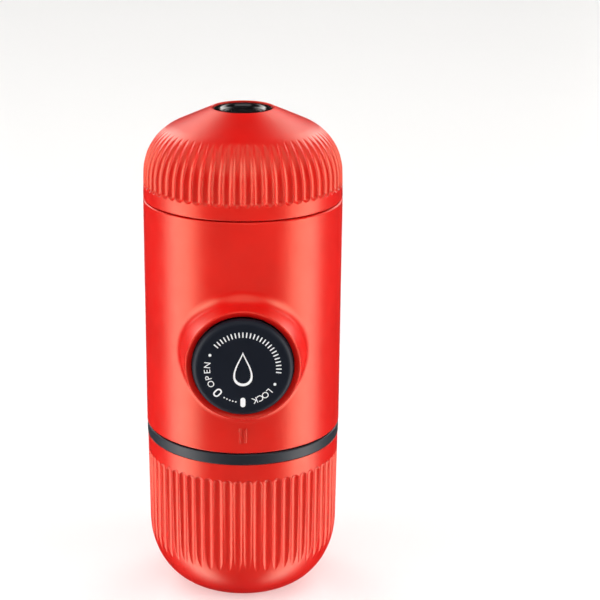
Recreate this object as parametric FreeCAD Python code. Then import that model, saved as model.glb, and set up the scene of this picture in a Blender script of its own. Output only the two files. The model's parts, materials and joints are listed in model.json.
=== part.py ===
import FreeCAD, Part
import math
import os

os.makedirs("parts", exist_ok=True)

# A portable espresso maker worked by a hand pump, in millimetres.
# Z points up from the foot of the cup and the knob faces -Y.

# Outer sizes
BODY_RADIUS = 30.8
BODY_HEIGHT = 73.2
CUP_HEIGHT = 50.8
RING_HEIGHT = 3.6
TANK_HEIGHT = 27.6
SEAM_GAP = 0.4
EDGE_ROUND = 0.4

# Fits between pieces
RUN_FIT = 0.05
SLIP_FIT = 0.1
FREE_GAP = 0.3

# Walls
BODY_WALL = 2.2
CUP_WALL = 1.8
TANK_WALL = 2.2
TANK_RIM_WALL = 3.1
COLLAR_WALL = 2.0
LEDGE_PLAY = 0.8
LEDGE_HEIGHT = 1.8

# Cup and its flutes
CUP_INSET = 0.2
CUP_TAPER = 0.3
CUP_FOOT_RADIUS = 14.65
CUP_CURVE_HEIGHT = 21.0
CUP_PLAIN_BAND = 4.8
CUP_FLUTE_RADIUS = 1.9
CUP_FLUTE_DEPTH = 0.5
CUP_FLUTE_BEND = 55.0
CUP_FLUTE_SWEEP = 30.0

# Tank dome and its flutes
TANK_TAPER = 0.5
TANK_RIM_LAND = 0.2
DOME_DROP = 9.3
DOME_ROUND = 16.35
TANK_PLAIN_BAND = 3.8
TANK_FLUTE_RADIUS = 1.75
TANK_FLUTE_DEPTH = 0.6
TANK_FLUTE_RUN_OUT = 0.95
TANK_FLUTE_SWEEP = 75.0
FLUTE_COUNT = 62
TOUCH = 0.0001
PLUG_RADIUS = 9.3
PLUG_HEIGHT = 2.4
PLUG_RIM = 2.1
PLUG_DISH = 1.0
PLUG_SINK = 0.35
PLUG_ROUND = 0.7
RECESS_ROUND = 0.1

# Screw joints between tank, body and outlet head
THREAD_STARTS = 2
THREAD_PITCH = 3.2
THREAD_HEIGHT = 1.1
THREAD_PLAY = 0.6
THREAD_ROOT_WIDTH = 1.4
THREAD_CREST_WIDTH = 0.8
THREAD_LEAD_IN = 1.9

# Brew head, filter and outlet
HEAD_WALL = 1.8
HEAD_PLATE = 3.0
GASKET_HEIGHT = 2.1
BASKET_RADIUS = 19.8
BASKET_DEPTH = 18.0
BASKET_LIP_INSET = 0.6
SHEET = 0.6
BASKET_PLAY = 0.5
BASKET_HOLE_RADIUS = 0.45
BASKET_HOLE_PITCH = 3.2
BASKET_HOLE_MARGIN = 3.3
SCREEN_PLAY = 0.8
SCREEN_DROP = 1.3
SCREEN_BOSS_RADIUS = 4.0
SCREEN_HOLE_RADIUS = 0.6
SCREEN_HOLE_RINGS = 4
SCREEN_FIRST_HOLES = 8
SCREEN_ADDED_HOLES = 4
SCREEN_RING_TWIST = 11.0
SKIRT_DEPTH = 8.0
SKIRT_WALL = 1.8
SKIRT_PLAY = 0.5
FUNNEL_WALL = 2.0
FUNNEL_DROP = 9.3
FUNNEL_GAP = 1.6
NOZZLE_RADIUS = 3.2
NOZZLE_BORE = 1.8
NOZZLE_COLLAR = 6.5
NOZZLE_DEPTH = 8.5
NOZZLE_LIP = 2.0
SEAL_SECTION = 0.75

# Tank floor
FLOOR_DROP = 13.5
FLOOR_PLATE = 2.5
COLLAR_RISE = 9.0
TANK_GASKET_HEIGHT = 1.5
FLANGE_HEIGHT = 2.5
NIPPLE_LENGTH = 5.0
STRAINER_RADIUS = 6.0
STRAINER_HEIGHT = 2.4
STRAINER_HOLE_RINGS = 2
STRAINER_FIRST_HOLES = 6
VENT_POSITION = 14.0
VENT_RADIUS = 3.5
VENT_STEM = 1.2
VENT_BULB = 1.8

# Pump boss and knob
PUMP_HEIGHT = 31.2
BOSS_PROUD = 7.2
BOSS_RIM = 2.15
BOSS_DRAFT = 8.0
BOSS_FOOT_ROUND = 4.0
BOSS_LIP = 2.5
BOSS_LAND = 0.45
BOSS_BEVEL_DEPTH = 0.9
KNOB_RADIUS = 15.0
KNOB_PROUD = 2.0
KNOB_FACE_THICKNESS = 2.6
KNOB_FACE_ROUND = 1.8
KNOB_WALL = 2.5
SLEEVE_STEP = 0.4
SLEEVE_WALL = 2.0
SLEEVE_END_GAP = 0.4
HUB_RADIUS = 5.5
HUB_LENGTH = 3.85
LUG_LENGTH = 3.0
LUG_REACH = 1.3
LUG_ANGLE = 16.0
TWIST_ANGLE = 45.0
SLOT_PLAY_ANGLE = 1.5
PUMP_STROKE = 18.0
MARK_WIDTH = 0.5
MARK_SPACING = 1.7
MARK_RISE = 0.4
MARK_BOTTOM = 3.7
MARK_LENGTH = 4.6

# Pump
GUIDE_PLAY = 0.15
GUIDE_WALL = 1.4
GUIDE_BACK_WALL = 2.0
GUIDE_LENGTH = 27.5
BORE_RADIUS = 7.0
BARREL_WALL = 2.5
BARREL_OUT = 14.0
BORE_DEPTH = 30.5
BARREL_END = 3.0
BARREL_FLANGE = 3.0
POST_WIDTH = 6.0
POST_SPACING = 18.0
PORT_RADIUS = 1.2
PORT_INSET = 1.5
PORT_BOSS_RADIUS = 4.2
PORT_BOSS_LENGTH = 4.5
VALVE_HEIGHT = 2.4
TUBE_RADIUS = 2.7
TUBE_BORE = 1.6
PISTON_LENGTH = 6.0
PISTON_END_GAP = 0.6
PISTON_PLAY = 0.15
PISTON_SEAL_SECTION = 1.0
ROD_RADIUS = 3.5
ROD_SPIGOT_RADIUS = 2.5
ROD_TAIL_RADIUS = 2.0
ROD_TAIL_LENGTH = 4.0
SPRING_WIRE = 0.7
SPRING_TURNS = 6.5

# Screws
SCREW_RADIUS = 1.25
SCREW_HEAD_RADIUS = 2.4
SCREW_HEAD_HEIGHT = 1.5
SCREW_GRIP = 9.0
KNOB_SCREW_HEAD_RADIUS = 3.6
KNOB_SCREW_GRIP = 8.0
DRIVE_RADIUS = 0.9
DRIVE_DEPTH = 0.8

# Levels from the foot upwards
Z_RIM = CUP_HEIGHT
Z_RING_TOP = Z_RIM + RING_HEIGHT
Z_BODY = Z_RING_TOP + SEAM_GAP
Z_BODY_TOP = Z_BODY + BODY_HEIGHT
Z_TANK = Z_BODY_TOP + SEAM_GAP
Z_TOP = Z_TANK + TANK_HEIGHT
Z_PUMP = Z_BODY + PUMP_HEIGHT

# Radii that follow from the body
BODY_BORE = BODY_RADIUS - BODY_WALL
LINER_RADIUS = BODY_BORE - SLIP_FIT
HEAD_THREAD_BORE = LINER_RADIUS - HEAD_WALL
NECK_RADIUS = HEAD_THREAD_BORE - THREAD_HEIGHT - THREAD_PLAY
NECK_BORE = BASKET_RADIUS + BASKET_PLAY
BASKET_LIP_RADIUS = NECK_RADIUS - BASKET_LIP_INSET
SCREEN_RADIUS = BASKET_RADIUS - SHEET - SCREEN_PLAY
TANK_BORE = BODY_RADIUS - TANK_RIM_WALL
COLLAR_RADIUS = TANK_BORE - THREAD_HEIGHT - THREAD_PLAY
COLLAR_BORE = COLLAR_RADIUS - COLLAR_WALL
CUP_RIM_RADIUS = BODY_RADIUS - CUP_INSET
CUP_SIDE_RADIUS = CUP_RIM_RADIUS - CUP_TAPER
SKIRT_RADIUS = CUP_RIM_RADIUS - CUP_WALL - SKIRT_PLAY
PLUG_RECESS = PLUG_RADIUS + SLIP_FIT
TANK_RIM_RADIUS = PLUG_RECESS + TANK_RIM_LAND
BOSS_CREST_RADIUS = KNOB_RADIUS + BOSS_RIM
LEAD = THREAD_PITCH * THREAD_STARTS

# Distances out from the body axis along the pump, and its radii
S_LIP = BODY_RADIUS + BOSS_PROUD
S_LIP_BACK = S_LIP - BOSS_LIP
S_FACE = S_LIP + KNOB_PROUD
S_FACE_BACK = S_FACE - KNOB_FACE_THICKNESS
S_WALL_BACK = S_FACE_BACK - KNOB_WALL
S_HUB_BACK = S_WALL_BACK - HUB_LENGTH
S_GUIDE_BACK = S_LIP_BACK - GUIDE_LENGTH
S_SPRING_SEAT = S_GUIDE_BACK + GUIDE_BACK_WALL
S_SLEEVE_END = S_SPRING_SEAT + SLEEVE_END_GAP
S_FLANGE_BACK = S_GUIDE_BACK - BARREL_FLANGE
S_BARREL_FRONT = S_GUIDE_BACK + BARREL_OUT
S_BORE_END = S_BARREL_FRONT - BORE_DEPTH
S_PORT = S_BORE_END + PORT_INSET
S_POST = S_GUIDE_BACK - POST_WIDTH / 2
S_PISTON = S_BORE_END + PISTON_END_GAP
S_PISTON_FRONT = S_PISTON + PISTON_LENGTH
S_COUNTERBORE = S_FACE_BACK - SCREW_HEAD_HEIGHT
SLEEVE_RADIUS = KNOB_RADIUS - SLEEVE_STEP
SLEEVE_BORE = SLEEVE_RADIUS - SLEEVE_WALL
GUIDE_BORE = SLEEVE_RADIUS + GUIDE_PLAY
GUIDE_RADIUS = GUIDE_BORE + GUIDE_WALL
BARREL_RADIUS = BORE_RADIUS + BARREL_WALL
SPRING_RADIUS = (BARREL_RADIUS + SLEEVE_BORE) / 2
SOCKET_RADIUS = TUBE_RADIUS + RUN_FIT

# Levels of the bulkheads that carry the pump
Z_HEAD_TOP = Z_PUMP - GUIDE_RADIUS - FREE_GAP
Z_HEAD = Z_HEAD_TOP - HEAD_PLATE
Z_BASKET_TOP = Z_HEAD - GASKET_HEIGHT
Z_NECK = Z_BASKET_TOP - SHEET
Z_BASKET = Z_BASKET_TOP - BASKET_DEPTH
Z_FLOOR_TOP = Z_BODY_TOP - FLOOR_DROP
Z_FLOOR = Z_FLOOR_TOP - FLOOR_PLATE
Z_FLANGE_TOP = Z_TANK - TANK_GASKET_HEIGHT
Z_FLANGE = Z_FLANGE_TOP - FLANGE_HEIGHT
Z_COLLAR = Z_BODY_TOP + COLLAR_RISE
Z_PLUG = Z_TOP - PLUG_SINK - PLUG_HEIGHT
Z_CEILING = Z_PLUG - TANK_WALL
Z_VALVE_IN = Z_PUMP + BARREL_RADIUS
Z_VALVE_OUT = Z_PUMP - BARREL_RADIUS
Z_PORT_HIGH = Z_VALVE_IN + PORT_BOSS_LENGTH
Z_PORT_LOW = Z_VALVE_OUT - PORT_BOSS_LENGTH
Z_NIPPLE = Z_PORT_LOW - FREE_GAP
Z_FUNNEL = Z_BASKET - FUNNEL_GAP
Z_SPOUT = Z_FUNNEL - FUNNEL_DROP

UP = FreeCAD.Vector(0, 0, 1)


def point(radius, height):
    return FreeCAD.Vector(radius, 0, height)


def corner_cut(before, corner, after):
    """Start, middle and end of the arc that rounds one corner of an outline."""
    here = point(corner[0], corner[1])
    if len(corner) < 3:
        return here, None, here
    back = (point(before[0], before[1]) - here).normalize()
    ahead = (point(after[0], after[1]) - here).normalize()
    half = back.getAngle(ahead) / 2
    reach = corner[2] / math.tan(half)
    inward = (back + ahead).normalize()
    middle = here + inward * (corner[2] / math.sin(half) - corner[2])
    return here + back * reach, middle, here + ahead * reach


def outline(corners):
    """Face in the XZ plane from (r, z) corners; a third number rounds the corner."""
    count = len(corners)
    cuts = [corner_cut(corners[i - 1], corners[i], corners[(i + 1) % count]) for i in range(count)]
    edges = []
    for i, (start, middle, end) in enumerate(cuts):
        if middle:
            edges.append(Part.Arc(start, middle, end).toShape())
        following = cuts[(i + 1) % count][0]
        if end.distanceToPoint(following) > 1e-6:
            edges.append(Part.LineSegment(end, following).toShape())
    return Part.Face(Part.Wire(edges))


def turned(corners):
    """Solid turned about the Z axis."""
    return outline(corners).revolve(FreeCAD.Vector(), UP, 360)


def ring(inner, outer, bottom, top):
    return turned([(inner, bottom), (outer, bottom), (outer, top), (inner, top)])


def rod(radius, bottom, top, x=0, y=0):
    return Part.makeCylinder(radius, top - bottom, FreeCAD.Vector(x, y, bottom))


def o_ring(outer, section, level):
    return Part.makeTorus(outer - section, section, FreeCAD.Vector(0, 0, level))


def around(shape, count, first=0.0):
    """Copies of a shape spread evenly about the Z axis."""
    copies = []
    for i in range(count):
        copy = shape.copy()
        copy.rotate(FreeCAD.Vector(), UP, first + 360.0 * i / count)
        copies.append(copy)
    return copies


def on_pump(shape):
    """Carry a shape from the pump's own frame, where Z runs outwards, into the machine."""
    placed = shape.copy()
    placed.rotate(FreeCAD.Vector(), FreeCAD.Vector(1, 0, 0), 90)
    placed.translate(FreeCAD.Vector(0, 0, Z_PUMP))
    return placed


def sector(corners, start_angle, sweep):
    """Part of a turned solid between two angles."""
    part = outline(corners).revolve(FreeCAD.Vector(), UP, sweep)
    part.rotate(FreeCAD.Vector(), UP, start_angle)
    return part


def thread(root, height, seat, end):
    """Helical ridges between two levels; they stand out from a wall, or inwards where height is negative.

    The inward ridges run half a pitch above the outward ones, so that the two lie in each other's gaps.
    """
    sink = math.copysign(THREAD_PLAY / 2, height)
    rise = end - seat - THREAD_LEAD_IN - THREAD_ROOT_WIDTH
    level = seat + THREAD_LEAD_IN + (THREAD_PITCH / 2 if height < 0 else 0)
    helix = Part.Wire(Part.makeHelix(LEAD, rise, root))
    base = THREAD_ROOT_WIDTH / 2
    tip = THREAD_CREST_WIDTH / 2
    corners = [point(root - sink, -base), point(root + height, -tip)]
    corners += [point(root + height, tip), point(root - sink, base)]
    profile = Part.makePolygon(corners + corners[:1])
    ridge = helix.makePipeShell([profile], True, True)
    ridge.translate(FreeCAD.Vector(0, 0, level))
    return around(ridge, THREAD_STARTS)


def screw(head_radius, grip, bottom=0.0):
    """Screw with a socket head above the level and its shank below."""
    body = rod(head_radius, bottom, bottom + SCREW_HEAD_HEIGHT)
    body = body.fuse(rod(SCREW_RADIUS - RUN_FIT, bottom - grip, bottom))
    top = bottom + SCREW_HEAD_HEIGHT
    drive = Part.Face(Part.makePolygon([
        FreeCAD.Vector(DRIVE_RADIUS * math.cos(math.radians(60 * i)),
                       DRIVE_RADIUS * math.sin(math.radians(60 * i)), top)
        for i in range(7)]))
    return body.cut(drive.extrude(UP * -DRIVE_DEPTH)).removeSplitter()


def moved(shape, x, y, z=0.0):
    copy = shape.copy()
    copy.translate(FreeCAD.Vector(x, y, z))
    return copy


def flute(centre, start, bend_level, bend_radius, bend_angle, radius):
    """Round cutter with a ball end that runs along a wall and then follows a bend inwards."""
    way = math.copysign(1, bend_level - start)
    ball = Part.makeSphere(radius, point(centre, start))
    bar = rod(radius, min(start, bend_level), max(start, bend_level), centre)
    disc = Part.Face(Part.Wire(Part.makeCircle(radius, point(centre, bend_level), UP * way)))
    pivot = point(centre - bend_radius, bend_level)
    return ball.fuse([bar, disc.revolve(pivot, FreeCAD.Vector(0, -way, 0), bend_angle)])


def fluted(blank, cutter):
    """Cut the flutes so that a ridge faces the front, every third in turn so that no two cutters cross."""
    pitch = 360.0 / FLUTE_COUNT
    cutters = around(cutter, FLUTE_COUNT, -90 + pitch / 2)
    for first in range(3):
        blank = blank.cut(cutters[first::3], TOUCH)
    return blank


# Cup

def quarter_curve(start, corner, end):
    """Quarter of an ellipse between two points whose tangents meet at the corner."""
    curve = Part.BSplineCurve()
    curve.buildFromPolesMultsKnots([start, corner, end], [3, 3], [0, 1], False, 2, [1, math.sqrt(0.5), 1])
    return curve.toShape()


def drinking_cup():
    side = CUP_SIDE_RADIUS
    inside = side - CUP_WALL
    rim_inside = CUP_RIM_RADIUS - CUP_WALL
    stops = [
        point(0, 0), point(CUP_FOOT_RADIUS, 0), point(side, CUP_CURVE_HEIGHT),
        point(CUP_RIM_RADIUS, Z_RIM), point(rim_inside, Z_RIM), point(inside, CUP_CURVE_HEIGHT),
        point(CUP_FOOT_RADIUS, CUP_WALL), point(0, CUP_WALL)]
    edges = [Part.LineSegment(stops[i], stops[(i + 1) % 8]).toShape() for i in (0, 2, 3, 4, 6, 7)]
    edges.insert(1, quarter_curve(stops[1], point(side, 0), stops[2]))
    edges.insert(5, quarter_curve(stops[5], point(inside, CUP_WALL), stops[6]))
    blank = Part.Face(Part.Wire(edges)).revolve(FreeCAD.Vector(), UP, 360)
    centre = side - CUP_FLUTE_DEPTH + CUP_FLUTE_RADIUS
    top = Z_RIM - CUP_PLAIN_BAND - CUP_FLUTE_RADIUS
    cutter = flute(centre, top, CUP_CURVE_HEIGHT, CUP_FLUTE_BEND + CUP_FLUTE_RADIUS, CUP_FLUTE_SWEEP,
                   CUP_FLUTE_RADIUS)
    return fluted(blank, cutter)


# Outlet head, which screws into the body and stands on the cup

def outlet_head():
    skirt_bottom = Z_RIM - SKIRT_DEPTH
    seal_level = Z_RIM - SKIRT_DEPTH / 2
    groove = SKIRT_RADIUS - 2 * SEAL_SECTION + SKIRT_PLAY - SLIP_FIT
    bowl = NECK_BORE + FUNNEL_WALL
    web = Z_RIM - EDGE_ROUND
    spout = Z_SPOUT - NOZZLE_DEPTH
    head = turned([
        (NECK_BORE, Z_NECK), (NECK_RADIUS, Z_NECK), (NECK_RADIUS, Z_RING_TOP),
        (BODY_RADIUS - SLIP_FIT, Z_RING_TOP, EDGE_ROUND), (BODY_RADIUS - SLIP_FIT, Z_RIM, EDGE_ROUND),
        (SKIRT_RADIUS, Z_RIM), (SKIRT_RADIUS, seal_level + SEAL_SECTION),
        (groove, seal_level + SEAL_SECTION), (groove, seal_level - SEAL_SECTION),
        (SKIRT_RADIUS, seal_level - SEAL_SECTION), (SKIRT_RADIUS, skirt_bottom, EDGE_ROUND),
        (SKIRT_RADIUS - SKIRT_WALL, skirt_bottom, EDGE_ROUND), (SKIRT_RADIUS - SKIRT_WALL, web),
        (bowl, web), (bowl, Z_FUNNEL - FUNNEL_WALL), (NOZZLE_COLLAR, Z_SPOUT - FUNNEL_WALL),
        (NOZZLE_COLLAR, spout), (NOZZLE_RADIUS, spout), (NOZZLE_RADIUS, Z_SPOUT),
        (NECK_BORE, Z_FUNNEL)])
    return head.fuse(thread(NECK_RADIUS, THREAD_HEIGHT, Z_RING_TOP, Z_NECK))


def cup_grip_ring():
    outer = SKIRT_RADIUS + SKIRT_PLAY - SLIP_FIT
    return o_ring(outer, SEAL_SECTION, Z_RIM - SKIRT_DEPTH / 2)


def filter_basket():
    bore = BASKET_RADIUS - SHEET
    basket = turned([
        (0, Z_BASKET), (BASKET_RADIUS, Z_BASKET, 2 * SHEET), (BASKET_RADIUS, Z_NECK),
        (BASKET_LIP_RADIUS, Z_NECK), (BASKET_LIP_RADIUS, Z_BASKET_TOP),
        (bore, Z_BASKET_TOP), (bore, Z_BASKET + SHEET, SHEET), (0, Z_BASKET + SHEET)])
    holes = []
    edge = BASKET_RADIUS - BASKET_HOLE_MARGIN
    reach = 2 * math.ceil(edge / BASKET_HOLE_PITCH)
    for row in range(-reach, reach + 1):
        for column in range(-reach, reach + 1):
            x = (column + row / 2) * BASKET_HOLE_PITCH
            y = row * BASKET_HOLE_PITCH * math.sqrt(0.75)
            if math.hypot(x, y) < edge:
                holes.append(rod(BASKET_HOLE_RADIUS, Z_BASKET - SHEET, Z_BASKET + 2 * SHEET, x, y))
    return basket.cut(holes)


def spout_nozzle():
    bottom = Z_SPOUT - NOZZLE_DEPTH
    return turned([
        (NOZZLE_BORE, bottom - NOZZLE_LIP), (NOZZLE_COLLAR, bottom - NOZZLE_LIP, EDGE_ROUND),
        (NOZZLE_COLLAR, bottom), (NOZZLE_RADIUS - RUN_FIT, bottom), (NOZZLE_RADIUS - RUN_FIT, Z_SPOUT),
        (NOZZLE_BORE, Z_SPOUT)])


# Seal between basket and brew head

def brew_gasket():
    return ring(BASKET_RADIUS + SLIP_FIT, BASKET_LIP_RADIUS, Z_BASKET_TOP, Z_HEAD)


# Main body

def boss_radius(distance):
    """Radius of the pump boss at a distance from the body axis."""
    return BOSS_CREST_RADIUS + (S_LIP - distance) * math.tan(math.radians(BOSS_DRAFT))


def is_boss_foot(edge):
    """The edge where the boss meets the round of the body."""
    spots = [edge.valueAt(edge.FirstParameter + share * (edge.LastParameter - edge.FirstParameter))
             for share in (0.1, 0.5, 0.9)]
    return all(
        abs(math.hypot(p.x, p.y) - BODY_RADIUS) < 1e-3 and p.y < 0
        and abs(math.hypot(p.x, p.z - Z_PUMP) - boss_radius(-p.y)) < 1e-3 for p in spots)


def ledge(level):
    """Ring inside the body that a bulkhead is drawn against."""
    return ring(COLLAR_RADIUS + LEDGE_PLAY, BODY_BORE + BODY_WALL / 2, level, level + LEDGE_HEIGHT)


def body_shell():
    blank = turned([
        (0, Z_BODY), (BODY_RADIUS, Z_BODY, EDGE_ROUND),
        (BODY_RADIUS, Z_BODY_TOP, EDGE_ROUND), (0, Z_BODY_TOP)])
    boss_base = BODY_RADIUS / 2
    boss = turned([
        (0, boss_base), (boss_radius(boss_base), boss_base),
        (BOSS_CREST_RADIUS, S_LIP, EDGE_ROUND), (0, S_LIP)])
    shell = blank.fuse(on_pump(boss))
    shell = shell.makeFillet(BOSS_FOOT_ROUND, [edge for edge in shell.Edges if is_boss_foot(edge)])
    shell = shell.cut(rod(BODY_BORE, Z_BODY, Z_BODY_TOP))
    shell = shell.fuse([ledge(Z_HEAD_TOP), ledge(Z_FLANGE - LEDGE_HEIGHT)])
    lip_bore = KNOB_RADIUS + FREE_GAP
    bevel = S_LIP - BOSS_BEVEL_DEPTH
    bore = turned([
        (0, S_GUIDE_BACK), (GUIDE_RADIUS + SLIP_FIT, S_GUIDE_BACK), (GUIDE_RADIUS + SLIP_FIT, S_LIP_BACK),
        (lip_bore, S_LIP_BACK), (lip_bore, bevel), (BOSS_CREST_RADIUS - BOSS_LAND, S_LIP), (0, S_LIP)])
    shell = shell.cut(on_pump(bore))
    marks = []
    for side in (-0.5, 0.5):
        corner = FreeCAD.Vector(side * MARK_SPACING - MARK_WIDTH / 2, -BODY_RADIUS - MARK_RISE,
                                Z_BODY + MARK_BOTTOM)
        marks.append(Part.makeBox(MARK_WIDTH, MARK_RISE + BODY_WALL / 2, MARK_LENGTH, corner))
    return shell.fuse(marks)


def seal_groove(level):
    """Corners of a groove for a seal ring, going up the rim of a bulkhead."""
    floor = LINER_RADIUS - 2 * SEAL_SECTION
    low = level - SEAL_SECTION
    high = level + SEAL_SECTION
    return [(LINER_RADIUS, low), (floor, low), (floor, high), (LINER_RADIUS, high)]


def bulkhead_seal(level):
    return o_ring(BODY_BORE - RUN_FIT, SEAL_SECTION, level)


def tie_places():
    return [(side * POST_SPACING / 2, -S_POST) for side in (-1, 1)]


def brew_head():
    screen_seat = Z_HEAD - SCREEN_DROP
    head = turned([
        (0, screen_seat), (SCREEN_BOSS_RADIUS, screen_seat), (SCREEN_BOSS_RADIUS, Z_HEAD),
        (HEAD_THREAD_BORE, Z_HEAD), (HEAD_THREAD_BORE, Z_BODY), (LINER_RADIUS, Z_BODY)]
        + seal_groove(Z_HEAD_TOP - HEAD_PLATE / 2) + [(LINER_RADIUS, Z_HEAD_TOP), (0, Z_HEAD_TOP)])
    head = head.fuse(thread(HEAD_THREAD_BORE, -THREAD_HEIGHT, Z_RING_TOP, Z_NECK))
    head = head.fuse(rod(PORT_BOSS_RADIUS, Z_HEAD, Z_NIPPLE, 0, -S_PORT))
    holes = [rod(SOCKET_RADIUS, Z_HEAD + SHEET, Z_NIPPLE, 0, -S_PORT)]
    holes.append(rod(TUBE_BORE, Z_HEAD, Z_HEAD + SHEET, 0, -S_PORT))
    holes.append(rod(SCREW_RADIUS, screen_seat, Z_HEAD_TOP - SHEET))
    for x, y in tie_places():
        holes.append(rod(SCREW_RADIUS, Z_HEAD, Z_HEAD_TOP, x, y))
        holes.append(rod(SCREW_HEAD_RADIUS + SLIP_FIT, Z_HEAD, Z_HEAD + SCREW_HEAD_HEIGHT, x, y))
    return head.cut(holes)


def head_seal():
    return bulkhead_seal(Z_HEAD_TOP - HEAD_PLATE / 2)


def shower_screen():
    top = Z_HEAD - SCREEN_DROP
    screen = ring(SCREW_RADIUS + RUN_FIT, SCREEN_RADIUS, top - SHEET, top)
    holes = []
    inner = SCREEN_BOSS_RADIUS + 2 * SCREEN_HOLE_RADIUS
    spread = (SCREEN_RADIUS - 2 * SCREEN_HOLE_RADIUS - inner) / (SCREEN_HOLE_RINGS - 1)
    for i in range(SCREEN_HOLE_RINGS):
        hole = rod(SCREEN_HOLE_RADIUS, top - 2 * SHEET, top + SHEET, inner + i * spread)
        holes += around(hole, SCREEN_FIRST_HOLES + SCREEN_ADDED_HOLES * i, SCREEN_RING_TWIST * i)
    return screen.cut(holes)


def shower_screw():
    """Screw up through the middle of the screen."""
    under = Z_HEAD - SCREEN_DROP - SHEET
    whole = screw(SCREW_HEAD_RADIUS, HEAD_PLATE)
    whole.rotate(FreeCAD.Vector(), FreeCAD.Vector(1, 0, 0), 180)
    return moved(whole, 0, 0, under)


def lower_tie_screws():
    tie = screw(SCREW_HEAD_RADIUS, SCREW_GRIP)
    tie.rotate(FreeCAD.Vector(), FreeCAD.Vector(1, 0, 0), 180)
    return Part.makeCompound([moved(tie, x, y, Z_HEAD + SCREW_HEAD_HEIGHT) for x, y in tie_places()])


def upper_tie_screws():
    tie = screw(SCREW_HEAD_RADIUS, SCREW_GRIP)
    return Part.makeCompound([moved(tie, x, y, Z_FLOOR_TOP) for x, y in tie_places()])


def tank_floor():
    floor = turned([
        (0, Z_FLOOR), (COLLAR_RADIUS, Z_FLOOR), (COLLAR_RADIUS, Z_FLANGE), (LINER_RADIUS, Z_FLANGE)]
        + seal_groove(Z_FLANGE + FLANGE_HEIGHT / 2) + [
        (LINER_RADIUS, Z_FLANGE_TOP), (COLLAR_RADIUS, Z_FLANGE_TOP), (COLLAR_RADIUS, Z_COLLAR, EDGE_ROUND),
        (COLLAR_BORE, Z_COLLAR, EDGE_ROUND), (COLLAR_BORE, Z_FLOOR_TOP, EDGE_ROUND), (0, Z_FLOOR_TOP)])
    floor = floor.fuse(thread(COLLAR_RADIUS, THREAD_HEIGHT, Z_TANK, Z_COLLAR))
    floor = floor.fuse(rod(PORT_BOSS_RADIUS, Z_FLOOR - NIPPLE_LENGTH, Z_FLOOR_TOP, 0, -S_PORT))
    holes = [rod(SOCKET_RADIUS, Z_FLOOR - NIPPLE_LENGTH, Z_FLOOR, 0, -S_PORT)]
    holes.append(rod(TUBE_BORE, Z_FLOOR, Z_FLOOR_TOP, 0, -S_PORT))
    holes.append(rod(VENT_STEM + RUN_FIT, Z_FLOOR, Z_FLOOR_TOP, 0, -VENT_POSITION))
    holes += [rod(SCREW_RADIUS, Z_FLOOR, Z_FLOOR_TOP, x, y) for x, y in tie_places()]
    return floor.cut(holes)


def floor_seal():
    return bulkhead_seal(Z_FLANGE + FLANGE_HEIGHT / 2)


def intake_strainer():
    top = Z_FLOOR_TOP + STRAINER_HEIGHT
    inner = STRAINER_RADIUS - SHEET
    cap = turned([
        (0, top - SHEET), (inner, top - SHEET, SHEET), (inner, Z_FLOOR_TOP),
        (STRAINER_RADIUS, Z_FLOOR_TOP), (STRAINER_RADIUS, top, 2 * SHEET), (0, top)])
    hole = rod(BASKET_HOLE_RADIUS, top - 2 * SHEET, top + SHEET)
    holes = [hole]
    for i in range(1, STRAINER_HOLE_RINGS + 1):
        reach = i * STRAINER_RADIUS / (STRAINER_HOLE_RINGS + 1)
        holes += around(moved(hole, reach, 0), STRAINER_FIRST_HOLES * i)
    return moved(cap.cut(holes), 0, -S_PORT)


def vent_valve():
    """Rubber umbrella that lets air into the tank as the water leaves."""
    valve = turned([
        (0, Z_FLOOR - VENT_BULB), (VENT_BULB, Z_FLOOR - VENT_BULB, EDGE_ROUND), (VENT_BULB, Z_FLOOR),
        (VENT_STEM, Z_FLOOR), (VENT_STEM, Z_FLOOR_TOP), (VENT_RADIUS, Z_FLOOR_TOP),
        (VENT_RADIUS, Z_FLOOR_TOP + SHEET), (VENT_STEM, Z_FLOOR_TOP + 2 * SHEET),
        (0, Z_FLOOR_TOP + 2 * SHEET)])
    return moved(valve, 0, -VENT_POSITION)


# Pump inside the body

def pump_block():
    """Barrel with its flange, two port bosses and the posts that tie the bulkheads together."""
    barrel = rod(BARREL_RADIUS, S_BORE_END - BARREL_END, S_BARREL_FRONT)
    barrel = barrel.fuse(rod(GUIDE_BORE, S_FLANGE_BACK, S_GUIDE_BACK))
    block = on_pump(barrel)
    holes = [on_pump(rod(BORE_RADIUS, S_BORE_END, S_BARREL_FRONT))]
    for x, y in tie_places():
        corner = FreeCAD.Vector(x - POST_WIDTH / 2, y - POST_WIDTH / 2, Z_HEAD_TOP)
        block = block.fuse(Part.makeBox(POST_WIDTH, POST_WIDTH, Z_FLOOR - Z_HEAD_TOP, corner))
        low = Z_HEAD + SCREW_HEAD_HEIGHT + SCREW_GRIP + SHEET
        high = Z_FLOOR_TOP - SCREW_GRIP - SHEET
        holes.append(rod(SCREW_RADIUS, Z_HEAD_TOP, low, x, y))
        holes.append(rod(SCREW_RADIUS, high, Z_FLOOR, x, y))
    block = block.fuse(rod(PORT_BOSS_RADIUS, Z_PORT_LOW, Z_PORT_HIGH, 0, -S_PORT))
    holes.append(rod(PORT_RADIUS, Z_VALVE_OUT, Z_VALVE_IN, 0, -S_PORT))
    holes.append(rod(SOCKET_RADIUS, Z_PORT_LOW, Z_VALVE_OUT, 0, -S_PORT))
    holes.append(rod(SOCKET_RADIUS, Z_VALVE_IN, Z_PORT_HIGH, 0, -S_PORT))
    holes += [on_pump(hole) for hole in flange_screw_holes(S_FLANGE_BACK, S_GUIDE_BACK)]
    return block.cut(holes)


def flange_screw_places():
    """Above and below the barrel, half way out to the edge of its flange."""
    reach = (BARREL_RADIUS + GUIDE_BORE) / 2
    return [(0, reach), (0, -reach)]


def flange_screw_holes(back, front):
    return [rod(SCREW_RADIUS, back, front, x, y) for x, y in flange_screw_places()]


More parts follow.
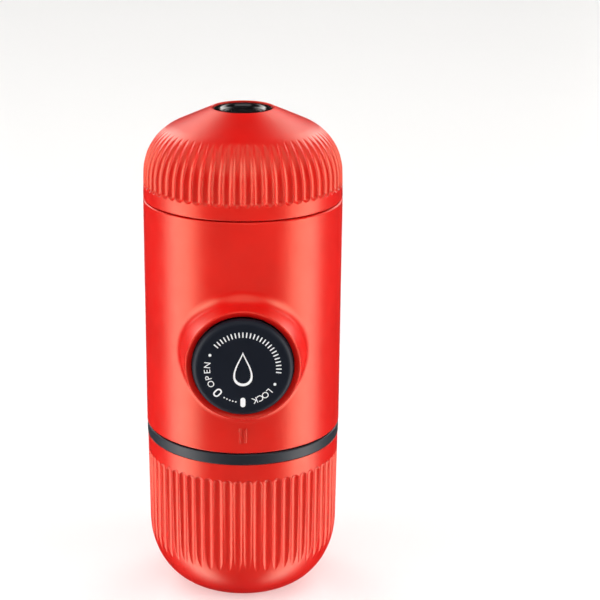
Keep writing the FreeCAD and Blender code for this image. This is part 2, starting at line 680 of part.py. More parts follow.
def flange_screws():
    grip = BARREL_FLANGE + GUIDE_BACK_WALL
    one = screw(SCREW_HEAD_RADIUS, grip)
    one.rotate(FreeCAD.Vector(), FreeCAD.Vector(1, 0, 0), 180)
    return on_pump(Part.makeCompound([moved(one, x, y, S_FLANGE_BACK) for x, y in flange_screw_places()]))


def pump_guide():
    """Sleeve that the knob slides in; its slots stop the lugs at both ends of twist and stroke."""
    guide = turned([
        (BARREL_RADIUS + RUN_FIT, S_GUIDE_BACK), (GUIDE_RADIUS, S_GUIDE_BACK), (GUIDE_RADIUS, S_LIP_BACK),
        (GUIDE_BORE, S_LIP_BACK), (GUIDE_BORE, S_SPRING_SEAT), (BARREL_RADIUS + RUN_FIT, S_SPRING_SEAT)])
    slot_front = S_SLEEVE_END + LUG_LENGTH + PUMP_STROKE + FREE_GAP
    inner = GUIDE_BORE - FREE_GAP
    outer = GUIDE_RADIUS + FREE_GAP
    start = -LUG_ANGLE / 2 - SLOT_PLAY_ANGLE
    sweep = LUG_ANGLE + TWIST_ANGLE + 2 * SLOT_PLAY_ANGLE
    slot = sector([(inner, S_SPRING_SEAT), (outer, S_SPRING_SEAT), (outer, slot_front), (inner, slot_front)],
                  start, sweep)
    return on_pump(guide.cut(around(slot, 2) + flange_screw_holes(S_GUIDE_BACK, S_SPRING_SEAT)))


def check_valve(level):
    """Rubber duckbill that hangs from a level and lets water pass downwards only."""
    tip = level - VALVE_HEIGHT
    flange = rod(TUBE_RADIUS, level - SHEET, level)
    bill = Part.makeCone(PORT_RADIUS, TUBE_BORE, VALVE_HEIGHT - SHEET, FreeCAD.Vector(0, 0, tip))
    corner = FreeCAD.Vector(-TUBE_BORE, -RUN_FIT, tip)
    slit = Part.makeBox(2 * TUBE_BORE, 2 * RUN_FIT, VALVE_HEIGHT - SHEET, corner)
    bore = rod(PORT_RADIUS - FREE_GAP, level - VALVE_HEIGHT / 2, level)
    return moved(flange.fuse(bill).cut([slit, bore]), 0, -S_PORT)


def inlet_valve():
    return check_valve(Z_VALVE_IN + VALVE_HEIGHT)


def outlet_valve():
    return check_valve(Z_VALVE_OUT)


def tube(bottom, top):
    return moved(ring(TUBE_BORE, TUBE_RADIUS, bottom, top), 0, -S_PORT)


def suction_tube():
    return tube(Z_VALVE_IN + VALVE_HEIGHT, Z_FLOOR)


def delivery_tube():
    return tube(Z_HEAD + SHEET, Z_VALVE_OUT - VALVE_HEIGHT)


def spring_point(turn, low, pitch):
    angle = 2 * math.pi * turn
    x = SPRING_RADIUS * math.cos(angle)
    y = SPRING_RADIUS * math.sin(angle)
    return FreeCAD.Vector(x, y, low + pitch * turn)


def return_spring():
    """Coil that pushes the knob out when it is unlocked, swept along quarter turns."""
    low = S_SPRING_SEAT + SPRING_WIRE + RUN_FIT
    high = S_WALL_BACK - SPRING_WIRE - RUN_FIT
    pitch = (high - low) / SPRING_TURNS
    quarters = round(SPRING_TURNS * 4)
    stops = [spring_point(i * SPRING_TURNS / quarters / 2, low, pitch) for i in range(2 * quarters + 1)]
    arcs = [Part.Arc(*stops[2 * i:2 * i + 3]).toShape() for i in range(quarters)]
    along = arcs[0].tangentAt(arcs[0].FirstParameter)
    wire = Part.Wire(Part.makeCircle(SPRING_WIRE, stops[0], along))
    half_turn = round(quarters / SPRING_TURNS)
    apart = [a.distanceToPoint(b) for i, a in enumerate(stops) for b in stops[i + half_turn:]]
    print("least gap between the spring's coils", round(min(apart) - 2 * SPRING_WIRE, 2))
    return on_pump(Part.Wire(arcs).makePipeShell([wire], True, False))


# Piston

def piston_rod():
    spigot_end = S_COUNTERBORE + RUN_FIT
    bar = turned([
        (0, S_PISTON_FRONT - ROD_TAIL_LENGTH), (ROD_TAIL_RADIUS, S_PISTON_FRONT - ROD_TAIL_LENGTH),
        (ROD_TAIL_RADIUS, S_PISTON_FRONT), (ROD_RADIUS, S_PISTON_FRONT), (ROD_RADIUS, S_HUB_BACK - RUN_FIT),
        (ROD_SPIGOT_RADIUS, S_HUB_BACK - RUN_FIT), (ROD_SPIGOT_RADIUS, spigot_end), (0, spigot_end)])
    return on_pump(bar.cut(rod(SCREW_RADIUS, spigot_end - KNOB_SCREW_GRIP - SHEET, spigot_end)))


def piston_head():
    outer = BORE_RADIUS - PISTON_PLAY
    floor = BORE_RADIUS - RUN_FIT - 2 * PISTON_SEAL_SECTION - RUN_FIT
    middle = S_PISTON + PISTON_LENGTH / 2
    low = middle - PISTON_SEAL_SECTION - SLIP_FIT
    high = middle + PISTON_SEAL_SECTION + SLIP_FIT
    hole = ROD_TAIL_RADIUS + RUN_FIT
    bottom = S_PISTON_FRONT - ROD_TAIL_LENGTH
    return on_pump(turned([
        (0, S_PISTON), (outer, S_PISTON), (outer, low), (floor, low), (floor, high), (outer, high),
        (outer, S_PISTON_FRONT), (hole, S_PISTON_FRONT), (hole, bottom), (0, bottom)]))


def piston_seal():
    level = S_PISTON + PISTON_LENGTH / 2
    return on_pump(o_ring(BORE_RADIUS - RUN_FIT, PISTON_SEAL_SECTION, level))


def knob_screw():
    return on_pump(screw(KNOB_SCREW_HEAD_RADIUS, KNOB_SCREW_GRIP, S_COUNTERBORE + RUN_FIT))


# Knob

def knob_sleeve():
    hole = ROD_SPIGOT_RADIUS + RUN_FIT
    counterbore = KNOB_SCREW_HEAD_RADIUS + FREE_GAP
    sleeve = turned([
        (hole, S_HUB_BACK), (HUB_RADIUS, S_HUB_BACK), (HUB_RADIUS, S_WALL_BACK), (SLEEVE_BORE, S_WALL_BACK),
        (SLEEVE_BORE, S_SLEEVE_END), (SLEEVE_RADIUS, S_SLEEVE_END), (SLEEVE_RADIUS, S_FACE_BACK),
        (counterbore, S_FACE_BACK), (counterbore, S_COUNTERBORE), (hole, S_COUNTERBORE)])
    inner = SLEEVE_BORE + SLEEVE_WALL / 2
    outer = SLEEVE_RADIUS + LUG_REACH
    tip = S_SLEEVE_END + LUG_LENGTH
    lug = sector([(inner, S_SLEEVE_END), (outer, S_SLEEVE_END), (outer, tip), (inner, tip)],
                 -LUG_ANGLE / 2, LUG_ANGLE)
    return on_pump(sleeve.fuse(around(lug, 2)))


def knob_face():
    pocket = KNOB_SCREW_HEAD_RADIUS + FREE_GAP
    return on_pump(turned([
        (0, S_FACE_BACK + SHEET), (pocket, S_FACE_BACK + SHEET), (pocket, S_FACE_BACK),
        (KNOB_RADIUS, S_FACE_BACK, EDGE_ROUND), (KNOB_RADIUS, S_FACE, KNOB_FACE_ROUND), (0, S_FACE)]))


# Tank

def tank_gasket():
    return ring(COLLAR_RADIUS + SLIP_FIT, LINER_RADIUS, Z_FLANGE_TOP, Z_TANK)


def water_tank():
    shoulder = BODY_RADIUS - TANK_TAPER
    corner_level = Z_TOP - DOME_DROP
    slope = DOME_DROP / (shoulder - TANK_RIM_RADIUS)
    tilt = math.atan(slope)
    inner_drop = TANK_WALL / math.cos(tilt)
    inner_corner = corner_level + (shoulder - TANK_BORE) * slope - inner_drop
    ceiling_radius = TANK_BORE - (Z_CEILING - inner_corner) / slope
    blank = turned([
        (TANK_BORE, Z_TANK), (BODY_RADIUS, Z_TANK, EDGE_ROUND), (shoulder, corner_level, DOME_ROUND),
        (TANK_RIM_RADIUS, Z_TOP, EDGE_ROUND), (PLUG_RECESS, Z_TOP, RECESS_ROUND),
        (PLUG_RECESS, Z_PLUG), (0, Z_PLUG), (0, Z_CEILING), (ceiling_radius, Z_CEILING),
        (TANK_BORE, inner_corner, DOME_ROUND - TANK_WALL)])
    bend_level = corner_level - DOME_ROUND / math.tan(math.radians(45) + tilt / 2)
    centre = shoulder - TANK_FLUTE_DEPTH + TANK_FLUTE_RADIUS
    bottom = Z_TANK + TANK_PLAIN_BAND + TANK_FLUTE_RADIUS
    bend = DOME_ROUND + TANK_FLUTE_RUN_OUT + TANK_FLUTE_RADIUS
    cutter = flute(centre, bottom, bend_level, bend, TANK_FLUTE_SWEEP, TANK_FLUTE_RADIUS)
    blank = fluted(blank, cutter)
    return blank.fuse(thread(TANK_BORE, -THREAD_HEIGHT, Z_TANK, Z_COLLAR))


def tank_end_plug():
    inner = PLUG_RADIUS - PLUG_RIM
    top = Z_PLUG + PLUG_HEIGHT
    return turned([
        (0, Z_PLUG), (PLUG_RADIUS, Z_PLUG), (PLUG_RADIUS, top, PLUG_ROUND), (inner, top, PLUG_ROUND),
        (inner - PLUG_DISH, top - PLUG_DISH, PLUG_DISH), (0, top - PLUG_DISH)])


PIECES = [
    drinking_cup,
    outlet_head, cup_grip_ring, filter_basket, spout_nozzle, brew_gasket,
    body_shell, brew_head, head_seal, shower_screen, shower_screw, lower_tie_screws,
    tank_floor, floor_seal, intake_strainer, vent_valve, upper_tie_screws,
    pump_block, pump_guide, flange_screws, inlet_valve, outlet_valve, suction_tube, delivery_tube,
    return_spring,
    piston_rod, piston_head, piston_seal, knob_screw,
    knob_sleeve, knob_face,
    tank_gasket, water_tank, tank_end_plug]

for piece in PIECES:
    shape = piece()
    shape.exportStep("parts/" + piece.__name__ + ".step")
    print(piece.__name__, shape.isValid(), len(shape.Solids), round(shape.Volume, 1))
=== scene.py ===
import json
import math

import bmesh
import bpy
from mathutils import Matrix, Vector


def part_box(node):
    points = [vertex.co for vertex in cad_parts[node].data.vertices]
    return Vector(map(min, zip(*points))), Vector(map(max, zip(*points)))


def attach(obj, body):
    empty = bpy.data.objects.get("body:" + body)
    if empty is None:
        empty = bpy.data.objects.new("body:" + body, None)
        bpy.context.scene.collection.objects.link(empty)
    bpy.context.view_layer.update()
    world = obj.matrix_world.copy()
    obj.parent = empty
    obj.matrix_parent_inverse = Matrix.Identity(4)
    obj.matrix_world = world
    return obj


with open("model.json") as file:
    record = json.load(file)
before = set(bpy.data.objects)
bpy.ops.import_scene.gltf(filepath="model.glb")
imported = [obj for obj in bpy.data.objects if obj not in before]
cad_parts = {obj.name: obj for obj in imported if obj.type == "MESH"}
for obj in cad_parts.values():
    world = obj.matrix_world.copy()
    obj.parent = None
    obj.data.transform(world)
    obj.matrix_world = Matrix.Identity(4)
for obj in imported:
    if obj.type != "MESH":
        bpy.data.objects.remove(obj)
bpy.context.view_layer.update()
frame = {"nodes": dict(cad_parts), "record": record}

# Looks of a portable espresso maker, in metres, in the CAD frame

# Colours in linear light
RED = (0.64, 0.0050, 0.0040)
RED_SHINE = (1.0, 0.96, 0.62)
RING_BLACK = (0.010, 0.014, 0.021)
KNOB_BLACK = (0.0060, 0.0085, 0.0155)
GLOSS_BLACK = (0.006, 0.006, 0.007)
INNER_GREY = (0.055, 0.056, 0.060)
RUBBER_GREY = (0.045, 0.045, 0.048)
STEEL = (0.56, 0.56, 0.57)
PRINT_WHITE = (0.80, 0.81, 0.82)
FLOOR_WHITE = (0.66, 0.66, 0.66)
WHITE = (1.0, 1.0, 1.0)

# Textures, with scales in cycles per metre and tones as factors on a colour
TEXTURE_MIDDLE = (0.3, 0.7)
TONE_SCALE = 55.0
GLOSS_SCALE = 240.0
GLOSS_CHANGE = 0.03
GRAIN_SCALE = 2600.0
GRAIN_DEPTH = 0.00005
STREAK_SCALE = 420.0
STREAK_STRETCH = (1.0, 12.0, 12.0)
STREAK_TONES = (0.86, 1.08)
STREAK_GLOSS = (-0.06, 0.08)
STREAK_STRENGTH = 0.08
STREAK_DEPTH = 0.00003
INK_SCALE = 1500.0
INK_TONES = (0.93, 1.03)
INK_GLOSS_SCALE = 3000.0
INK_ROUGHNESS = (0.45, 0.60)

# Edges
SMALL_EDGE = 0.00015
WIDE_EDGE = 0.0004
STEEL_EDGE = 0.0001
EDGE_SAMPLES = 4
CREASE_ANGLE = 28.0
# Wear starts and is full at these cosines of the angle by which rounding turns the surface
WEAR_COSINES = (0.98, 0.80)
WEAR_STRENGTH = 0.10
WEAR_GREY = 0.6
WEAR_GREY_SHARE = 0.15

# Camera that matches the photograph, for an image of 600 by 600
IMAGE_SIZE = 600
FOCAL_PIXELS = 1669.9
SENSOR_WIDTH = 36.0
CAMERA_PLACE = (0.0, -0.500, 0.2608)
CAMERA_DOWN = 18.47
AXIS_PIXEL = 242.9
CENTRE_PIXEL = 300.9

# Studio
FLOOR_REACH = 6.0
FLOOR_GLOW = 0.36
FLOOR_ROUGHNESS = 0.18
FLOOR_SHEEN = 0.3
FLOOR_SCALE = 6.0
FLOOR_TONES = (0.99, 1.0)
BACKDROP_HEIGHT = 6.0
BACKDROP_SIDES = 96
BACKDROP_GLOW = 1.0
WORLD_LEVEL = 0.02
PANEL_COLOUR = (1.0, 0.97, 0.94)
PANEL_SOFTNESS = 12.0
# Each light panel as degrees of turn from the front, degrees of height and strength
PANELS = [((56, 94), (-70, 32), 6.6), ((125, 158), (6, 48), 5.0)]
FRONT_LIGHT = 1.5
FRONT_LIGHT_SPREAD = 70.0
FRONT_LIGHT_HEIGHT = 60.0

# Print on the knob, with places in degrees clockwise from the bottom of its face
KNOB_NODES = ("knob_face", "knob_sleeve")
PRINT_RISE = 0.00004
PRINT_RING = 0.0106
LETTER_HEIGHT = 0.0019
# Height of a capital letter as a share of the font size
CAPITAL_SHARE = 0.7
# Letters, place of their middle and step from one to the next
OPEN_WORD = ("OPEN", 80, 11)
LOCK_WORD = ("LOCK", -34, 9.5)
# Place, width and length
INDEX_MARK = (0, 0.0015, 0.0030)
OPEN_MARK = (45, 0.0020, 0.0029)
OPEN_MARK_STROKE = 0.00045
SMALL_DOTS = (11.5, 16.5, 21.5, 26.5, 31.5)
SMALL_DOT_RADIUS = 0.00022
LARGE_DOTS = (114, -63)
LARGE_DOT_RADIUS = 0.00044
TICKS = range(132, 280, 6)
TICK_WIDTH = 0.00035
TICK_LENGTH = 0.0017
DROP_WIDTH = 0.0074
DROP_HEIGHT = 0.0108
DROP_TAPER = 1.6
DROP_SWELL = 1.12
DROP_SIDE_STROKE = 0.000715
DROP_END_STROKE = 0.0007975


# Node trees

def node_tree(name):
    """New material with its nodes, links and a principled shader."""
    material = bpy.data.materials.new(name)
    material.use_nodes = True
    nodes = material.node_tree.nodes
    return material, nodes, material.node_tree.links, nodes["Principled BSDF"]


def object_place(nodes):
    """Place on the object, for textures that stay with it."""
    return nodes.new("ShaderNodeTexCoord").outputs["Object"]


def noise(nodes, links, place, scale, detail=3.0):
    texture = nodes.new("ShaderNodeTexNoise")
    texture.inputs["Scale"].default_value = scale
    texture.inputs["Detail"].default_value = detail
    links.new(place, texture.inputs["Vector"])
    return texture.outputs["Fac"]


def remap(nodes, links, value, source, target):
    """Carry one range of numbers onto another."""
    node = nodes.new("ShaderNodeMapRange")
    node.inputs["From Min"].default_value, node.inputs["From Max"].default_value = source
    node.inputs["To Min"].default_value, node.inputs["To Max"].default_value = target
    links.new(value, node.inputs["Value"])
    return node.outputs["Result"]


def spread(nodes, links, texture, low, high):
    """Carry a texture's middle range onto two numbers."""
    return remap(nodes, links, texture, TEXTURE_MIDDLE, (low, high))


def maths(nodes, links, operation, first, second=None):
    """Arithmetic on sockets or plain numbers."""
    node = nodes.new("ShaderNodeMath")
    node.operation = operation
    for socket, value in zip(node.inputs, (first, second)):
        if isinstance(value, (int, float)):
            socket.default_value = value
        elif value is not None:
            links.new(value, socket)
    return node.outputs[0]


def blend_colour(nodes, links, factor, first, second):
    """Mix of two colours, each a socket or three plain numbers."""
    mix = nodes.new("ShaderNodeMix")
    mix.data_type = "RGBA"
    links.new(factor, mix.inputs["Factor"])
    for socket, colour in ((mix.inputs[6], first), (mix.inputs[7], second)):
        if isinstance(colour, tuple):
            socket.default_value = (*colour, 1.0)
        else:
            links.new(colour, socket)
    return mix.outputs[2]


def shade(colour, factor):
    return tuple(min(1.0, channel * factor) for channel in colour)


def toned(nodes, links, texture, colour, tones):
    """Colour that a texture takes from a darker tone to a lighter one."""
    factor = spread(nodes, links, texture, 0.0, 1.0)
    return blend_colour(nodes, links, factor, shade(colour, tones[0]), shade(colour, tones[1]))


def rounded_normal(nodes, radius):
    """Surface direction with every edge rounded off."""
    bevel = nodes.new("ShaderNodeBevel")
    bevel.samples = EDGE_SAMPLES
    bevel.inputs["Radius"].default_value = radius
    return bevel.outputs["Normal"]


def edge_mask(nodes, links, rounded):
    """One along sharp edges and zero on open faces."""
    product = nodes.new("ShaderNodeVectorMath")
    product.operation = "DOT_PRODUCT"
    links.new(rounded, product.inputs[0])
    links.new(nodes.new("ShaderNodeNewGeometry").outputs["Normal"], product.inputs[1])
    return remap(nodes, links, product.outputs["Value"], WEAR_COSINES, (0.0, 1.0))


def roughen(nodes, links, shader, height, strength, depth, rounded):
    """Fine relief on a surface whose edges are rounded."""
    bump = nodes.new("ShaderNodeBump")
    bump.inputs["Strength"].default_value = strength
    bump.inputs["Distance"].default_value = depth
    links.new(height, bump.inputs["Height"])
    links.new(rounded, bump.inputs["Normal"])
    links.new(bump.outputs["Normal"], shader.inputs["Normal"])


# Materials

def moulded(name, colour, roughness, grain, edge=SMALL_EDGE, variation=0.08, sheen=0.5, tint=WHITE):
    """Moulded plastic or rubber: fine grain, slow colour change and paler worn edges."""
    material, nodes, links, shader = node_tree(name)
    place = object_place(nodes)
    slow = noise(nodes, links, place, TONE_SCALE)
    base = toned(nodes, links, slow, colour, (1 - variation, 1 + variation))
    rounded = rounded_normal(nodes, edge)
    worn = maths(nodes, links, "MULTIPLY", edge_mask(nodes, links, rounded), WEAR_STRENGTH)
    pale = tuple((1 - WEAR_GREY_SHARE) * channel + WEAR_GREY_SHARE * WEAR_GREY for channel in colour)
    links.new(blend_colour(nodes, links, worn, base, pale), shader.inputs["Base Color"])
    patches = noise(nodes, links, place, GLOSS_SCALE)
    rough = spread(nodes, links, patches, roughness - GLOSS_CHANGE, roughness + GLOSS_CHANGE)
    links.new(rough, shader.inputs["Roughness"])
    fine = noise(nodes, links, place, GRAIN_SCALE, detail=2.0)
    roughen(nodes, links, shader, fine, grain, GRAIN_DEPTH, rounded)
    shader.inputs["Specular IOR Level"].default_value = sheen
    shader.inputs["Specular Tint"].default_value = (*tint, 1.0)
    return material


def brushed(name, colour, roughness):
    """Rolled steel with fine streaks across it."""
    material, nodes, links, shader = node_tree(name)
    stretch = nodes.new("ShaderNodeMapping")
    stretch.inputs["Scale"].default_value = STREAK_STRETCH
    links.new(object_place(nodes), stretch.inputs["Vector"])
    streaks = noise(nodes, links, stretch.outputs["Vector"], STREAK_SCALE, detail=4.0)
    links.new(toned(nodes, links, streaks, colour, STREAK_TONES), shader.inputs["Base Color"])
    rough = spread(nodes, links, streaks, roughness + STREAK_GLOSS[0], roughness + STREAK_GLOSS[1])
    links.new(rough, shader.inputs["Roughness"])
    rounded = rounded_normal(nodes, STEEL_EDGE)
    roughen(nodes, links, shader, streaks, STREAK_STRENGTH, STREAK_DEPTH, rounded)
    shader.inputs["Metallic"].default_value = 1.0
    return material


def printed(name, colour):
    """Pad-printed ink, slightly uneven."""
    material, nodes, links, shader = node_tree(name)
    place = object_place(nodes)
    patches = noise(nodes, links, place, INK_SCALE)
    links.new(toned(nodes, links, patches, colour, INK_TONES), shader.inputs["Base Color"])
    rough = spread(nodes, links, noise(nodes, links, place, INK_GLOSS_SCALE), *INK_ROUGHNESS)
    links.new(rough, shader.inputs["Roughness"])
    return material


# No roughness range crosses 0.27, because a denoised render shows specks in one that does
MATERIALS = {
    "red_plastic": moulded(
        "red_satin_plastic", RED, roughness=0.31, grain=0.08, edge=WIDE_EDGE, tint=RED_SHINE),
    "black_plastic": moulded(
        "black_satin_plastic", RING_BLACK, roughness=0.46, grain=0.18, sheen=0.3),
    "gloss_black": moulded(
        "polished_black_plastic", GLOSS_BLACK, roughness=0.09, grain=0.0, variation=0.15),
    "inner_plastic": moulded(
        "grey_inner_plastic", INNER_GREY, roughness=0.52, grain=0.25),
    "steel": brushed(
        "brushed_steel", STEEL, roughness=0.36),
    "silicone": moulded(
        "dark_silicone", RUBBER_GREY, roughness=0.70, grain=0.30, sheen=0.35)}
KNOB_FINISH = moulded(
    "knob_soft_black", KNOB_BLACK, roughness=0.46, grain=0.22, edge=WIDE_EDGE, sheen=0.16)
INK = printed("white_ink", PRINT_WHITE)


# CAD nodes keep their shape and take these finishes

def dress(node, material):
    piece = frame["nodes"][node]
    piece.data.materials.clear()
    piece.data.materials.append(material)
    for polygon in piece.data.polygons:
        polygon.use_smooth = True
    creases = piece.modifiers.new("soft_edges", "EDGE_SPLIT")
    creases.split_angle = math.radians(CREASE_ANGLE)


for part in frame["record"]["subparts"]:
    if part["node"] in KNOB_NODES:
        dress(part["node"], KNOB_FINISH)
    else:
        dress(part["node"], MATERIALS[part["material_slot"]])


# Print on the knob face

FACE_LOW, FACE_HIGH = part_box("knob_face")
PRINT_Y = FACE_LOW[1] - PRINT_RISE
FACE_Z = (FACE_LOW[2] + FACE_HIGH[2]) / 2


def ring_place(clock, radius=PRINT_RING):
    """Place on the face, with the directions away from its middle and clockwise round it."""
    angle = math.radians(clock)
    outwards = Vector((-math.sin(angle), 0, -math.cos(angle)))
    onwards = Vector((-math.cos(angle), 0, math.sin(angle)))
    return Vector((0, PRINT_Y, FACE_Z)) + outwards * radius, outwards, onwards


def add_print(name, mesh):
    """Object from a flat mesh, faced to the front and thickened back to the surface."""
    bmesh.ops.recalc_face_normals(mesh, faces=mesh.faces)
    for face in mesh.faces:
        if face.normal.y > 0:
            face.normal_flip()
    data = bpy.data.meshes.new(name)
    mesh.to_mesh(data)
    mesh.free()
    data.materials.append(INK)
    piece = bpy.data.objects.new(name, data)
    bpy.context.scene.collection.objects.link(piece)
    thick = piece.modifiers.new("ink_thickness", "SOLIDIFY")
    thick.thickness = PRINT_RISE
    thick.offset = -1
    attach(piece, "knob")


def add_filled(mesh, outline):
    mesh.faces.new([mesh.verts.new(point) for point in outline])


def add_band(mesh, outer, inner):
    """Strip between two outlines that have the same number of points."""
    first = [mesh.verts.new(point) for point in outer]
    second = [mesh.verts.new(point) for point in inner]
    for i in range(len(first)):
        mesh.faces.new((first[i - 1], first[i], second[i], second[i - 1]))


def capsule(clock, width, length, steps=10):
    """Outline of a round-ended mark that points to the middle of the face."""
    middle, outwards, onwards = ring_place(clock)
    points = []
    for end, start in ((1, 0.0), (-1, math.pi)):
        centre = middle + outwards * (end * (length - width) / 2)
        for i in range(steps):
            turn = start + math.pi * i / (steps - 1)
            points.append(centre + (outwards * math.sin(turn) - onwards * math.cos(turn)) * width / 2)
    return points


def dot(clock, radius, steps=26):
    """Outline of a round dot."""
    middle, outwards, onwards = ring_place(clock)
    turns = [2 * math.pi * i / steps for i in range(steps)]
    return [middle + (outwards * math.sin(turn) - onwards * math.cos(turn)) * radius for turn in turns]


def droplet(width, height, steps=64):
    """Outline of a water drop about the middle of the face."""
    points = []
    for i in range(steps):
        turn = 2 * math.pi * i / steps
        x = width / 2 * DROP_SWELL * math.sin(turn) * math.sin(turn / 2) ** DROP_TAPER
        points.append(Vector((x, PRINT_Y, FACE_Z + height / 2 * math.cos(turn))))
    return points


def letter_mesh(letter):
    """Flat mesh of one letter that stands on its base line."""
    font = bpy.data.curves.new("letter", "FONT")
    font.body = letter
    font.size = LETTER_HEIGHT / CAPITAL_SHARE
    font.align_x = "CENTER"
    holder = bpy.data.objects.new("letter", font)
    bpy.context.scene.collection.objects.link(holder)
    bpy.context.view_layer.update()
    data = bpy.data.meshes.new_from_object(holder)
    bpy.data.objects.remove(holder)
    bpy.data.curves.remove(font)
    return data


def word(text, middle_clock, step):
    """Letters that run clockwise round the face with their tops outwards."""
    mesh = bmesh.new()
    for i, letter in enumerate(text):
        clock = middle_clock + (i - (len(text) - 1) / 2) * step
        foot, outwards, onwards = ring_place(clock, PRINT_RING - LETTER_HEIGHT / 2)
        data = letter_mesh(letter)
        start = len(mesh.verts)
        mesh.from_mesh(data)
        bpy.data.meshes.remove(data)
        mesh.verts.ensure_lookup_table()
        for vertex in mesh.verts[start:]:
            vertex.co = foot + onwards * vertex.co.x + outwards * vertex.co.y
    return mesh


def ring_marks():
    """Index mark, open mark, dots and ticks round the face."""
    mesh = bmesh.new()
    add_filled(mesh, capsule(*INDEX_MARK))
    clock, width, length = OPEN_MARK
    inner = capsule(clock, width - 2 * OPEN_MARK_STROKE, length - 2 * OPEN_MARK_STROKE)
    add_band(mesh, capsule(clock, width, length), inner)
    for clock in SMALL_DOTS:
        add_filled(mesh, dot(clock, SMALL_DOT_RADIUS))
    for clock in LARGE_DOTS:
        add_filled(mesh, dot(clock, LARGE_DOT_RADIUS))
    for clock in TICKS:
        add_filled(mesh, capsule(clock, TICK_WIDTH, TICK_LENGTH, steps=5))
    return mesh


def drop():
    """Line in the shape of a water drop."""
    mesh = bmesh.new()
    inner = droplet(DROP_WIDTH - 2 * DROP_SIDE_STROKE, DROP_HEIGHT - 2 * DROP_END_STROKE)
    add_band(mesh, droplet(DROP_WIDTH, DROP_HEIGHT), inner)
    return mesh


add_print("print_open", word(*OPEN_WORD))
add_print("print_lock", word(*LOCK_WORD))
add_print("print_marks", ring_marks())
add_print("print_drop", drop())


# Studio pieces, lights and camera

def glow(shader, strength):
    shader.inputs["Emission Color"].default_value = (*WHITE, 1.0)
    shader.inputs["Emission Strength"].default_value = strength


def stage_piece(name, mesh, material):
    """Object of the studio, which no reflection shows."""
    data = bpy.data.meshes.new(name)
    mesh.to_mesh(data)
    mesh.free()
    data.materials.append(material)
    piece = bpy.data.objects.new(name, data)
    bpy.context.scene.collection.objects.link(piece)
    piece.visible_glossy = False
    return piece


def floor():
    """White table top that glows a little, so that it stays plain right to the horizon."""
    mesh = bmesh.new()
    bmesh.ops.create_grid(mesh, x_segments=1, y_segments=1, size=FLOOR_REACH)
    material, nodes, links, shader = node_tree("floor_white")
    patches = noise(nodes, links, object_place(nodes), FLOOR_SCALE)
    links.new(toned(nodes, links, patches, FLOOR_WHITE, FLOOR_TONES), shader.inputs["Base Color"])
    shader.inputs["Roughness"].default_value = FLOOR_ROUGHNESS
    shader.inputs["Specular IOR Level"].default_value = FLOOR_SHEEN
    glow(shader, FLOOR_GLOW)
    stage_piece("floor", mesh, material)


def backdrop():
    """White wall far off round the floor; it lets the light of the panels through."""
    mesh = bmesh.new()
    bmesh.ops.create_circle(mesh, segments=BACKDROP_SIDES, radius=FLOOR_REACH)
    wall = bmesh.ops.extrude_edge_only(mesh, edges=mesh.edges[:])["geom"]
    for item in wall:
        if isinstance(item, bmesh.types.BMVert):
            item.co.z = BACKDROP_HEIGHT
    material, _, _, shader = node_tree("backdrop_white")
    shader.inputs["Base Color"].default_value = (*FLOOR_WHITE, 1.0)
    glow(shader, BACKDROP_GLOW)
    piece = stage_piece("backdrop", mesh, material)
    piece.visible_diffuse = False
    piece.visible_shadow = False


def fade(nodes, links, value, none, full):
    """Zero on one side of a soft step in degrees and one on the other."""
    step = nodes.new("ShaderNodeMapRange")
    step.interpolation_type = "SMOOTHSTEP"
    step.inputs["From Min"].default_value = math.radians(none)
    step.inputs["From Max"].default_value = math.radians(full)
    links.new(value, step.inputs["Value"])
    return step.outputs["Result"]


def panel(nodes, links, turn, height, turns, heights, strength):
    """Soft light panel, the same left and right, between two turns from the front and two heights."""
    level = strength
    for value, (low, high) in ((turn, turns), (height, heights)):
        rise = fade(nodes, links, value, low - PANEL_SOFTNESS, low + PANEL_SOFTNESS)
        fall = fade(nodes, links, value, high + PANEL_SOFTNESS, high - PANEL_SOFTNESS)
        level = maths(nodes, links, "MULTIPLY", rise, level)
        level = maths(nodes, links, "MULTIPLY", fall, level)
    return level


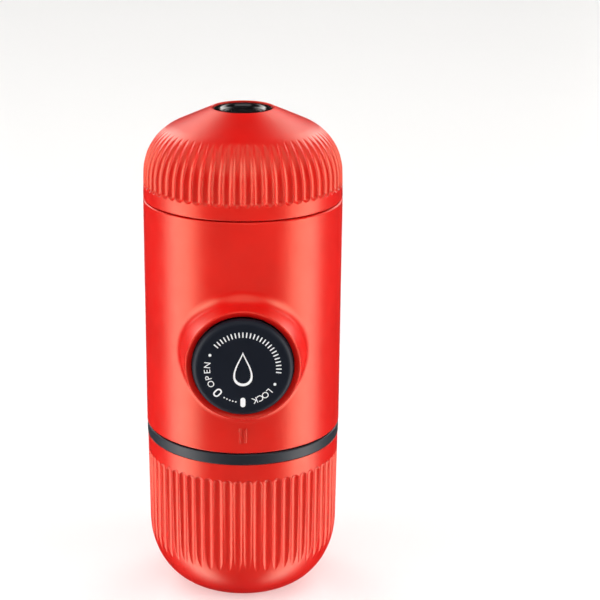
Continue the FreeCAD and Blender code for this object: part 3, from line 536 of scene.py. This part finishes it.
def panels():
    """World that is dark apart from its light panels."""
    world = bpy.data.worlds.new("studio")
    world.use_nodes = True
    world.cycles.sampling_method = "NONE"
    nodes = world.node_tree.nodes
    links = world.node_tree.links
    split = nodes.new("ShaderNodeSeparateXYZ")
    links.new(nodes.new("ShaderNodeTexCoord").outputs["Generated"], split.inputs[0])
    side = maths(nodes, links, "ABSOLUTE", split.outputs["X"])
    front = maths(nodes, links, "MULTIPLY", split.outputs["Y"], -1.0)
    turn = maths(nodes, links, "ARCTAN2", side, front)
    height = maths(nodes, links, "ARCSINE", split.outputs["Z"])
    level = WORLD_LEVEL
    for turns, heights, strength in PANELS:
        light = panel(nodes, links, turn, height, turns, heights, strength)
        level = maths(nodes, links, "ADD", light, level)
    background = nodes["Background"]
    background.inputs["Color"].default_value = (*PANEL_COLOUR, 1.0)
    links.new(level, background.inputs["Strength"])
    bpy.context.scene.world = world


def front_light():
    """Wide soft light from the front and above."""
    lamp = bpy.data.lights.new("front_light", "SUN")
    lamp.energy = FRONT_LIGHT
    lamp.angle = math.radians(FRONT_LIGHT_SPREAD)
    holder = bpy.data.objects.new("front_light", lamp)
    holder.rotation_euler = (math.radians(90 - FRONT_LIGHT_HEIGHT), 0.0, 0.0)
    bpy.context.scene.collection.objects.link(holder)


def camera():
    lens = bpy.data.cameras.new("photo_camera")
    lens.sensor_width = SENSOR_WIDTH
    lens.lens = SENSOR_WIDTH * FOCAL_PIXELS / IMAGE_SIZE
    lens.shift_x = (IMAGE_SIZE / 2 - AXIS_PIXEL) / IMAGE_SIZE
    lens.shift_y = (CENTRE_PIXEL - IMAGE_SIZE / 2) / IMAGE_SIZE
    holder = bpy.data.objects.new("photo_camera", lens)
    holder.location = CAMERA_PLACE
    holder.rotation_euler = (math.radians(90 - CAMERA_DOWN), 0.0, 0.0)
    bpy.context.scene.collection.objects.link(holder)
    bpy.context.scene.camera = holder


floor()
backdrop()
panels()
front_light()
camera()
bpy.context.scene.view_settings.view_transform = "Standard"
